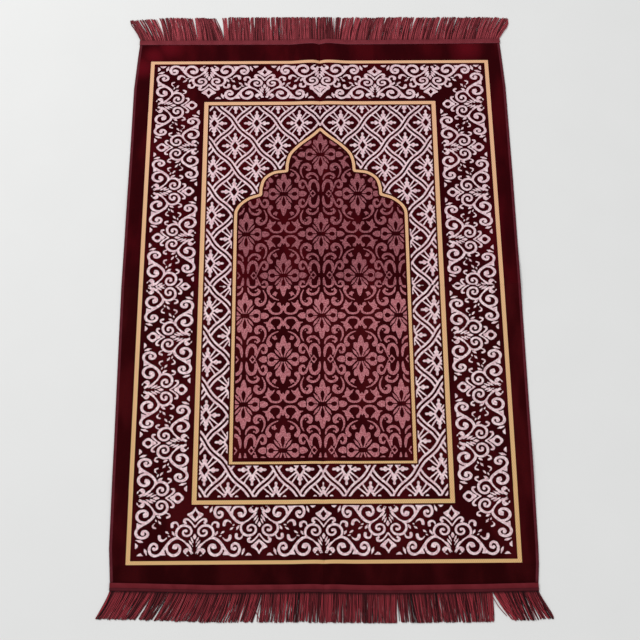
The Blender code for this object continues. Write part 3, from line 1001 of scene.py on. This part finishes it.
def cloth_quarter(name, side, end, materials):
    """A quarter of the cloth between the creases: a closed sheet with its figure woven on top."""
    x, y, thickness, fine_x, fine_y = quarter_places(side, end)
    yarn = weave_figure(x, y, thickness, fine_x, fine_y)
    rows, columns = x.shape
    under_x = x.copy()
    under_x[:, -1] -= side * EDGE_ROUND
    floor_height = lift(under_x, y)
    top = np.stack([x, y, lift(x, y) + thickness], -1).reshape(-1, 3)

    index = np.arange(rows * columns).reshape(rows, columns)
    quads = np.stack([index[:-1, :-1], index[:-1, 1:], index[1:, 1:], index[1:, :-1]], -1)
    worn = np.full(quads.shape[:2], PILE)
    worn[:fine_y, :fine_x] = yarn
    worn[:, -4:] = HEM
    worn[fine_y:, :][-2:, :] = PILE

    # Underside: a coarse grid that keeps every knot along its rim, so that the walls close.
    steps_x = sorted({*range(0, columns, UNDER_STEP), columns - 1})
    steps_y = sorted({*range(0, rows, UNDER_STEP), rows - 1})
    kept = np.zeros((rows, columns), bool)
    kept[np.ix_(steps_y, steps_x)] = True
    kept[[0, -1], :] = True
    kept[:, [0, -1]] = True
    below = np.full((rows, columns), -1)
    below[kept] = rows * columns + np.arange(kept.sum())
    bottom = np.stack([under_x[kept], y[kept], floor_height[kept]], -1)

    faces = quads.reshape(-1, 4).tolist()
    wears = worn.reshape(-1).tolist()
    rim = [(0, column) for column in range(columns)]
    rim += [(row, columns - 1) for row in range(1, rows)]
    rim += [(rows - 1, column) for column in range(columns - 2, -1, -1)]
    rim += [(row, 0) for row in range(rows - 2, 0, -1)]
    for here, following in zip(rim, rim[1:] + rim[:1]):
        faces.append([int(index[following]), int(index[here]), int(below[here]), int(below[following])])
        wears.append(HEM if here[1] == following[1] == columns - 1 else BACKING)
    for low, high in zip(steps_y, steps_y[1:]):
        for left, right in zip(steps_x, steps_x[1:]):
            ring = [(low, column) for column in range(left, right)]
            ring += [(row, right) for row in range(low, high)]
            ring += [(high, column) for column in range(right, left, -1)]
            ring += [(row, left) for row in range(high, low, -1)]
            faces.append([int(below[place]) for place in reversed(ring) if kept[place]])
            wears.append(BACKING)
    if side * end < 0:
        faces = [face[::-1] for face in faces]

    mesh = bpy.data.meshes.new(name)
    mesh.from_pydata(np.concatenate([top, bottom]).tolist(), [], faces)
    for material in materials:
        mesh.materials.append(material)
    mesh.polygons.foreach_set("material_index", wears)
    mesh.polygons.foreach_set("use_smooth", [True] * len(wears))
    mesh.update()
    return link(name, mesh)


def link(name, mesh):
    piece = bpy.data.objects.new(name, mesh)
    bpy.context.scene.collection.objects.link(piece)
    return piece


# ---- grown pieces: shared parts of the geometry trees ---------------------------------------

def new_tree(name, inputs):
    """An empty geometry tree with named inputs, each with its kind of socket."""
    tree = bpy.data.node_groups.new(name, "GeometryNodeTree")
    tree.interface.new_socket("Geometry", in_out="INPUT", socket_type="NodeSocketGeometry")
    for label, kind in inputs.items():
        tree.interface.new_socket(label, in_out="INPUT", socket_type=kind)
    tree.interface.new_socket("Geometry", in_out="OUTPUT", socket_type="NodeSocketGeometry")
    return tree, add_node(tree, "NodeGroupInput").outputs


def finish_tree(tree, geometry, material):
    """Every tree ends alike: real geometry, smooth, in its material."""
    real = add_node(tree, "GeometryNodeRealizeInstances", {"Geometry": geometry})
    smooth = add_node(tree, "GeometryNodeSetShadeSmooth", {"Geometry": real.outputs["Geometry"]})
    worn = add_node(tree, "GeometryNodeSetMaterial", {
        "Geometry": smooth.outputs["Geometry"], "Material": material,
    })
    add_node(tree, "NodeGroupOutput", {"Geometry": worn.outputs["Geometry"]})
    return tree


RANDOM_LOW, RANDOM_HIGH = 2, 3        # the number sockets of a Random Value node


def grow(guide_mesh, tree, values):
    """Run a tree on a guide and return the plain mesh that it makes."""
    guide = link("guide", guide_mesh)
    modifier = guide.modifiers.new("grown", "NODES")
    modifier.node_group = tree
    for socket in tree.interface.items_tree:
        if socket.in_out == "INPUT" and socket.name in values:
            modifier[socket.identifier] = values[socket.name]
    shown = bpy.context.evaluated_depsgraph_get()
    mesh = bpy.data.meshes.new_from_object(guide.evaluated_get(shown), depsgraph=shown)
    guide.modifiers.clear()
    bpy.data.objects.remove(guide)
    return mesh


def chains_mesh(name, chains, **values):
    """A mesh of separate chains of edges, with named numbers at each point."""
    points = np.concatenate(chains)
    edges = []
    start = 0
    for chain in chains:
        edges += [(number, number + 1) for number in range(start, start + len(chain) - 1)]
        start += len(chain)
    mesh = bpy.data.meshes.new(name)
    mesh.from_pydata(points.tolist(), edges, [])
    for label, numbers in values.items():
        mesh.attributes.new(label, "FLOAT", "POINT").data.foreach_set("value", np.concatenate(numbers))
    return mesh


def strip_faces(count, corners, turned):
    """Faces of a closed profile carried along a line, with its two caps; turned over if above 0."""
    index = np.arange(count * corners).reshape(count, corners)
    faces = []
    for edge in range(corners):
        beside = (edge + 1) % corners
        strip = np.stack([index[:-1, edge], index[:-1, beside], index[1:, beside], index[1:, edge]], -1)
        faces += strip.tolist()
    faces += [index[0, ::-1].tolist(), index[-1].tolist()]
    return [face[::-1] for face in faces] if turned > 0 else faces


# ---- heading tapes --------------------------------------------------------------------------

TAPE_PROFILE = (
    # share of the width in from the outer edge, share of the thickness
    (1.00, 0.00),
    (1.00, 0.60),
    (0.96, 0.98),
    (0.78, 1.00),
    (0.42, 0.98),
    (0.38, 0.55),
    (0.33, 0.55),
    (0.29, 0.92),
    (0.16, 0.96),
    (0.04, 0.80),
    (0.00, 0.40),
    (0.00, 0.00),
)
TAPE_BANDS = 5               # faces of the profile that belong to the upper band
RIB_PITCH = 0.0013
RIB_DEPTH = 0.00007


def tape_piece(name, end, materials):
    """A ribbed tape: an upper band, a stitched groove and a rolled outer edge."""
    reach_left = side_reach(end * NOMINAL_HALF_LENGTH, -1) + TAPE_OVERHANG
    reach_right = side_reach(end * NOMINAL_HALF_LENGTH, 1) + TAPE_OVERHANG
    count = int((reach_left + reach_right) / (0.5 * RIB_PITCH))
    x = np.linspace(-reach_left, reach_right, count)
    across = np.array([share for share, height in TAPE_PROFILE])
    height = np.array([height for share, height in TAPE_PROFILE])
    place_x = np.repeat(x[:, None], len(across), 1)
    place_y = end * (end_reach(x, end)[:, None] - across[None, :] * TAPE_WIDTHS[end])
    rib = RIB_DEPTH * np.where(np.arange(count) % 2, 1.0, -1.0)[:, None] * (height[None, :] > 0.5)
    place_z = lift(place_x, place_y) + BOUND_THICKNESS + SEAM_GAP + height[None, :] * TAPE_THICKNESS + rib
    points = np.stack([place_x, place_y, place_z], -1).reshape(-1, 3)
    faces = strip_faces(count, len(across), end)
    upper = TAPE_BANDS * (count - 1)
    wears = [0] * upper + [1] * (len(faces) - upper)
    mesh = bpy.data.meshes.new(name)
    mesh.from_pydata(points.tolist(), [], faces)
    for material in materials:
        mesh.materials.append(material)
    mesh.polygons.foreach_set("material_index", wears)
    mesh.shade_smooth()
    mesh.update()
    return link(name, mesh)


STITCH_SPACING = 0.0042
STITCH_LENGTH = 0.0031
STITCH_THICKNESS = 0.00055
STITCH_SEED = 11
STITCH_ROW = (0.355, 0.60)   # shares of the tape's width and thickness at the running stitches
EDGE_ROW = (0.95, 1.0)       # and at the slanted ones
EDGE_SLANT = math.radians(70.0)
THREAD_PITCH = 0.0006
# the front thread is dark: its own colour, and painted shade of the tape's groove that it lies in
THREAD_CODES = {-1: ("#3c0a14", "#5e1a28"), 1: ("#8a3c4c", "#b06474")}


def stitch_tree(material):
    """Stitches along a line: each a plump lens of thread, slanted by an angle."""
    tree, given = new_tree("running_stitches", {
        "Spacing": "NodeSocketFloat",
        "Stitch Length": "NodeSocketFloat",
        "Thread Thickness": "NodeSocketFloat",
        "Slant": "NodeSocketFloat",
        "Seed": "NodeSocketInt",
    })
    line = add_node(tree, "GeometryNodeMeshToCurve", {"Mesh": given["Geometry"]})
    spaced = add_node(tree, "GeometryNodeResampleCurve", {
        "Curve": line.outputs["Curve"], "Length": given["Spacing"],
    }, mode="LENGTH")
    thread = add_node(tree, "GeometryNodeMeshUVSphere", {"Segments": 6, "Rings": 4, "Radius": 0.5})
    tangent = add_node(tree, "GeometryNodeInputTangent")
    turned = add_node(tree, "ShaderNodeVectorRotate", {
        "Vector": tangent.outputs["Tangent"], "Angle": given["Slant"], "Axis": (0.0, 0.0, 1.0),
    }, rotation_type="AXIS_ANGLE")
    facing = add_node(tree, "FunctionNodeAlignRotationToVector", {
        "Vector": turned.outputs["Vector"],
    }, axis="Z")
    uneven = add_node(tree, "FunctionNodeRandomValue", {
        RANDOM_LOW: 0.86, RANDOM_HIGH: 1.08, "Seed": given["Seed"],
    }, data_type="FLOAT")
    length = add_node(tree, "ShaderNodeMath", {
        0: given["Stitch Length"], 1: uneven.outputs[1],
    }, operation="MULTIPLY")
    size = add_node(tree, "ShaderNodeCombineXYZ", {
        "X": given["Thread Thickness"], "Y": given["Thread Thickness"], "Z": length.outputs["Value"],
    })
    sewn = add_node(tree, "GeometryNodeInstanceOnPoints", {
        "Points": spaced.outputs["Curve"], "Instance": thread.outputs["Mesh"],
        "Rotation": facing.outputs["Rotation"], "Scale": size.outputs["Vector"],
    })
    return finish_tree(tree, sewn.outputs["Instances"], material)


def stitch_line(end, width_share, height_share):
    """A chain along a tape, at a share of its width in from the outer edge."""
    reach_left = side_reach(end * NOMINAL_HALF_LENGTH, -1) - 0.001
    reach_right = side_reach(end * NOMINAL_HALF_LENGTH, 1) - 0.001
    x = np.linspace(-reach_left, reach_right, 160)
    y = end * (end_reach(x, end) - width_share * TAPE_WIDTHS[end])
    z = lift(x, y) + BOUND_THICKNESS + SEAM_GAP + height_share * TAPE_THICKNESS
    return np.stack([x, y, z], -1)


def stitched(name, end, tree, slant, row):
    guide = chains_mesh("stitch_line", [stitch_line(end, *row)])
    mesh = grow(guide, tree, {
        "Spacing": STITCH_SPACING if not slant else 0.5 * STITCH_SPACING,
        "Stitch Length": STITCH_LENGTH if not slant else 0.8 * STITCH_LENGTH,
        "Thread Thickness": STITCH_THICKNESS,
        "Slant": slant,
        "Seed": STITCH_SEED,
    })
    return link(name, mesh)


# ---- fringes --------------------------------------------------------------------------------

STRAND_SHARES = (0.0, 0.05, 0.12, 0.26, 0.44, 0.63, 0.82, 1.0)
STRAND_SIDES = 5
STRAND_RADIUS = 0.00076
LAYER_SPACINGS = (0.00102, 0.00152)
BUNDLE_SHARES = ((0.0, 0.56, 1.0), (0.0, 0.36, 0.70, 1.0), (0.0, 0.46, 1.0), (0.0, 0.30, 0.62, 1.0))
# painted shadow: near their roots the strands are darkened, under the heading tape
TAPE_SHADOW_KEEPS = {-1: 0.0, 1: 0.5}  # share of its colour that a strand keeps beside the tape
BUNDLE_SWAYS = {-1: 0.0009, 1: 0.0010}    # how far bundles stray from their neighbours
BUNDLE_GATHERS = {-1: 0.02, 1: 0.08}      # share that the strands of a bundle draw together
TIP_ROUNDING = 0.0018        # how much shorter the strands at a bundle's sides are
# painted shade: strands of the lower layer are darkened to 0.40 of their colour, those of the upper
# lightened to 1.12
LAYER_PAINTED_SHADES = (0.40, 1.12)
BUNDLE_SHADE = 0.42
BUNDLE_SHADE_SPREAD = 0.10
STRAND_SHADE_SPREAD = 0.38
ROOT_SPREAD = 0.0002         # unevenness of the roots' places
LENGTH_SPREAD = 0.0008       # and of the lengths, for bundles and for strands
FRINGE_SEED = 20
GIRTH_SEED = 5
STRAY_STRANDS = (
    # root x, lean, length
    (0.2680, 0.0240, 0.0440),
    (-0.1180, 0.0130, 0.0470),
)


def tuft_spans(end):
    """Left and right x of each tuft along one end."""
    y = end * NOMINAL_HALF_LENGTH
    edges = []
    for side, widths in ((-1, TUFT_WIDTHS_LEFT), (1, TUFT_WIDTHS_RIGHT)):
        reach = [side * distance for distance in np.cumsum(widths)] + [side * side_reach(y, side)]
        edges += reach
    edges = sorted(edges + [0.0])
    return list(zip(edges, edges[1:]))


def strand(root_x, end, length, lean, waver, layer):
    """The middle line of one strand, from the fringe's head to its tip."""
    share = np.array(STRAND_SHARES)
    phase, reach = waver
    x = root_x + lean * share ** 1.25 + reach * share * np.sin(2 * math.pi * (share * 0.9 + phase))
    along = length - LEAN_DROPS[end] * lean ** 2 / length
    root = end_reach(root_x, end) - SPINE_SETBACK - 0.0005
    y = end * np.minimum(root + share * along, TIP_REACH_Y)
    raised = lift(root_x, end * root) * (1.0 - share) ** 2
    bulge = 0.25 + 1.5 * np.sin(math.pi * np.minimum(share * 1.4 + 0.05, 1.0))
    stacked = STRAND_RADIUS * (1.0 + layer * bulge)
    z = raised + np.maximum(stacked, STRAND_RADIUS * 1.02)
    return np.stack([np.clip(x, -TIP_REACH_X, TIP_REACH_X), y, z], -1)


def bundle_spans(end):
    """Left and right x of each bundle: every tuft falls into two or three."""
    spans = []
    for number, (left, right) in enumerate(tuft_spans(end)):
        shares = BUNDLE_SHARES[number % len(BUNDLE_SHARES)]
        places = [left + share * (right - left) for share in shares]
        spans += list(zip(places, places[1:]))
    return spans


def fringe_strands(end):
    """Every strand of a fringe: leaning bundles with rounded tips, and corners that flare."""
    draw = np.random.default_rng(FRINGE_SEED + end)
    share = np.array(STRAND_SHARES)
    root_shade = TAPE_SHADOW_KEEPS[end]
    # painted shadow of the tape on the strands' roots
    tape_shadow = np.interp(share, (0.0, 0.05, 0.14), (root_shade, root_shade + 0.15, 1.0))
    girth = np.interp(share, (0.0, 0.9, 1.0), (1.0, 0.94, 0.80))
    chains, girths, shades = [], [], []
    for left, right in bundle_spans(end):
        centre = 0.5 * (left + right)
        bundle_lean = from_table(TIP_LEANS[end], centre, 1) + draw.normal(0.0, BUNDLE_SWAYS[end])
        shortfall = abs(draw.normal(0.0, LENGTH_SPREAD))
        bundle_shade = draw.normal(BUNDLE_SHADE, BUNDLE_SHADE_SPREAD)
        for layer, spacing in enumerate(LAYER_SPACINGS):
            count = max(int(round((right - left) / spacing)), 2)
            for place in range(count):
                across = (place + 0.5) / count
                root_x = left + across * (right - left) + draw.normal(0.0, ROOT_SPREAD)
                gather = BUNDLE_GATHERS[end] * (centre - root_x)
                lean = bundle_lean + gather + draw.normal(0.0, 0.0011 + 0.0011 * layer)
                rounding = TIP_ROUNDING * abs(2.0 * across - 1.0) ** 2.5
                length = STRAND_LENGTHS[end] - shortfall - rounding - abs(draw.normal(0.0, LENGTH_SPREAD))
                waver = (draw.random(), draw.normal(0.0, 0.0005 + 0.0004 * layer))
                chains.append(strand(root_x, end, length, lean, waver, layer))
                girths.append(girth)
                shade = draw.normal(bundle_shade, STRAND_SHADE_SPREAD) * LAYER_PAINTED_SHADES[layer]
                shades.append(tape_shadow * np.clip(shade, 0.0, 1.0))
    if end < 0:
        for root_x, lean, length in STRAY_STRANDS:
            chains.append(strand(root_x, end, length, lean, (0.3, 0.0012), 1.6))
            girths.append(0.9 * girth)
            shades.append(0.6 * tape_shadow)
    return chains, girths, shades


def strand_tree(material):
    """Round strands along chains, each a little thicker or thinner than the next."""
    tree, given = new_tree("fringe_strands", {
        "Strand Radius": "NodeSocketFloat",
        "Sides": "NodeSocketInt",
        "Seed": "NodeSocketInt",
    })
    line = add_node(tree, "GeometryNodeMeshToCurve", {"Mesh": given["Geometry"]})
    girth = add_node(tree, "GeometryNodeInputNamedAttribute", {"Name": "girth"}, data_type="FLOAT")
    number = add_node(tree, "GeometryNodeCurveOfPoint")
    uneven = add_node(tree, "FunctionNodeRandomValue", {
        RANDOM_LOW: 0.84, RANDOM_HIGH: 1.10, "ID": number.outputs["Curve Index"], "Seed": given["Seed"],
    }, data_type="FLOAT")
    thick = add_node(tree, "ShaderNodeMath", {
        0: girth.outputs["Attribute"], 1: uneven.outputs[1],
    }, operation="MULTIPLY")
    radius = add_node(tree, "ShaderNodeMath", {
        0: thick.outputs["Value"], 1: given["Strand Radius"],
    }, operation="MULTIPLY")
    ring = add_node(tree, "GeometryNodeCurvePrimitiveCircle", {"Resolution": given["Sides"], "Radius": 1.0})
    yarn = add_node(tree, "GeometryNodeCurveToMesh", {
        "Curve": line.outputs["Curve"], "Profile Curve": ring.outputs["Curve"],
        "Scale": radius.outputs["Value"], "Fill Caps": True,
    })
    return finish_tree(tree, yarn.outputs["Mesh"], material)


def fringe_head(end):
    """Points and faces of the woven strip under the tape that holds the strands."""
    y = end * NOMINAL_HALF_LENGTH
    x = np.linspace(-side_reach(y, -1), side_reach(y, 1), 140)
    outer = end * (end_reach(x, end) - SPINE_SETBACK)
    inner = end * (end_reach(x, end) - TAPE_TUCK + SEAM_GAP)
    corners = ((inner, 0.0), (inner, SPINE_THICKNESS), (outer, SPINE_THICKNESS), (outer, 0.0))
    points = np.stack([np.stack([x, place, lift(x, place) + height], -1) for place, height in corners], 1)
    return points.reshape(-1, 3), strip_faces(len(x), len(corners), end)


def fringe_piece(name, end, tree, material):
    chains, girths, shades = fringe_strands(end)
    yarn = grow(chains_mesh("strand_lines", chains, girth=girths, shade=shades), tree, {
        "Strand Radius": STRAND_RADIUS, "Sides": STRAND_SIDES, "Seed": GIRTH_SEED + end,
    })
    points, faces = fringe_head(end)
    head = bpy.data.meshes.new("head")
    head.from_pydata(points.tolist(), [], faces)
    joined = bmesh.new()
    joined.from_mesh(yarn)
    joined.from_mesh(head)
    mesh = bpy.data.meshes.new(name)
    joined.to_mesh(mesh)
    joined.free()
    mesh.materials.append(material)
    return link(name, mesh)


# ---- floor, light and camera ----------------------------------------------------------------

FLOOR_HALF = 9.0
CAMERA_PLACE = Vector((-0.0157, -1.149, 2.309))
CAMERA_AIM = Vector((-0.0032, -0.0585, 0.0))
CAMERA_ROLL = math.radians(0.26)
CAMERA_LENS = 81.56
CAMERA_SENSOR = 36.0
SKY_STRENGTH = 0.66
LIGHTS = (
    # name, place, size, watts: both look at the middle of the rug
    ("window", (-2.2, 1.9, 2.8), 1.8, 70.0),
    ("fill", (1.8, -1.6, 2.6), 2.2, 13.0),
)


def build_stage():
    mesh = bpy.data.meshes.new("floor")
    corners = [(x * FLOOR_HALF, y * FLOOR_HALF, 0.0) for x, y in ((-1, -1), (1, -1), (1, 1), (-1, 1))]
    mesh.from_pydata(corners, [], [(0, 1, 2, 3)])
    mesh.materials.append(plain_material("matt_pale_floor", "#eaeae8", 0.7))
    floor = link("floor", mesh)


def area_light(name, place, size, watts):
    lamp = bpy.data.lights.new(name, "AREA")
    lamp.shape = "DISK"
    lamp.size = size
    lamp.energy = watts
    light = bpy.data.objects.new(name, lamp)
    light.location = place
    light.rotation_euler = (-Vector(place)).to_track_quat("-Z", "Y").to_euler()
    bpy.context.scene.collection.objects.link(light)


def build_lights():
    world = bpy.data.worlds.new("studio")
    world.use_nodes = True
    sky = world.node_tree.nodes["Background"]
    sky.inputs["Color"].default_value = srgb("#f2f3f5")
    sky.inputs["Strength"].default_value = SKY_STRENGTH
    bpy.context.scene.world = world
    for light in LIGHTS:
        area_light(*light)


def build_camera():
    lens = bpy.data.cameras.new("camera")
    lens.lens = CAMERA_LENS
    lens.sensor_width = CAMERA_SENSOR
    camera = bpy.data.objects.new("camera", lens)
    turn = (CAMERA_AIM - CAMERA_PLACE).to_track_quat("-Z", "Y").to_matrix()
    turn = turn @ Matrix.Rotation(CAMERA_ROLL, 3, "Z")
    camera.matrix_world = Matrix.Translation(CAMERA_PLACE) @ turn.to_4x4()
    bpy.context.scene.collection.objects.link(camera)
    bpy.context.scene.camera = camera


# ---- the rug --------------------------------------------------------------------------------

# Darkest and lightest colour of each yarn, in front of the cross crease and behind it: the pair behind it
# is a copy with painted light and shade.
WHITE_CODES = (("#dcb4ba", "#fce4e6"), ("#dcb2ba", "#fae0e4"))
ROSE_CODES = (("#a4525a", "#d48a90"), ("#7e3c44", "#b66c74"))


def build_cloth():
    materials = [
        velvet_material(),
        flat_yarn_material("white_figure_yarn", *WHITE_CODES, 0.8, 0.20, 260.0),
        gold_yarn_material(),
        flat_yarn_material("rose_figure_yarn", *ROSE_CODES, 0.8, 0.42, 460.0),
        # the hem is lighter than the velvet: its own turned weave, and painted sheen where the pile turns
        # over the side edge
        ribbed_material("turned_hem", "#48121a", "#6a2630", 0.0016, "Y"),
        backing_material(),
    ]
    quarters = []
    for end_name, end in (("front", -1), ("back", 1)):
        for side_name, side in (("left", -1), ("right", 1)):
            quarter = cloth_quarter(f"cloth_{end_name}_{side_name}", side, end, materials)
            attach(quarter, "root")
            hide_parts("rug_cloth")
            quarters.append((quarter, side, end))
    return quarters


def build_ends():
    # painted light and shade: the front tape's rolled edge is a darker copy of the front tape, painted
    # shade; the back tape is a lighter copy, painted light
    tape_cloths = {
        -1: (ribbed_material("front_heading_tape", "#581017", "#7c2730", RIB_PITCH, "X"),
             ribbed_material("front_tape_edge_shaded", "#400d14", "#5c1d25", RIB_PITCH, "X")),
        1: (ribbed_material("back_heading_tape", "#641e26", "#8a363e", RIB_PITCH, "X"),) * 2,
    }
    yarn = fringe_material()
    strands = strand_tree(yarn)
    ends = {}
    for end_name, end in (("front", -1), ("back", 1)):
        thread = ribbed_material(f"sewing_thread_{end_name}", *THREAD_CODES[end], THREAD_PITCH, "X")
        tape = tape_piece(f"tape_{end_name}", end, tape_cloths[end])
        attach(tape, "root")
        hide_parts(f"heading_tape_{end_name}")
        sewn = stitched(f"stitches_{end_name}", end, stitch_tree(thread), 0.0, STITCH_ROW)
        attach(sewn, "root")
        parts = [sewn]
        if end > 0:
            ticks = stitched("edge_stitches_back", end, stitch_tree(thread), EDGE_SLANT, EDGE_ROW)
            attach(ticks, "root")
            parts.append(ticks)
        fringe = fringe_piece(f"fringe_yarn_{end_name}", end, strands, yarn)
        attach(fringe, "root")
        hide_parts(f"fringe_{end_name}")
        ends[end] = (tape, parts, fringe)
    return ends


def main():
    build_stage()
    build_lights()
    build_camera()
    bpy.context.scene.view_settings.view_transform = "Standard"
    quarters = build_cloth()
    ends = build_ends()


main()
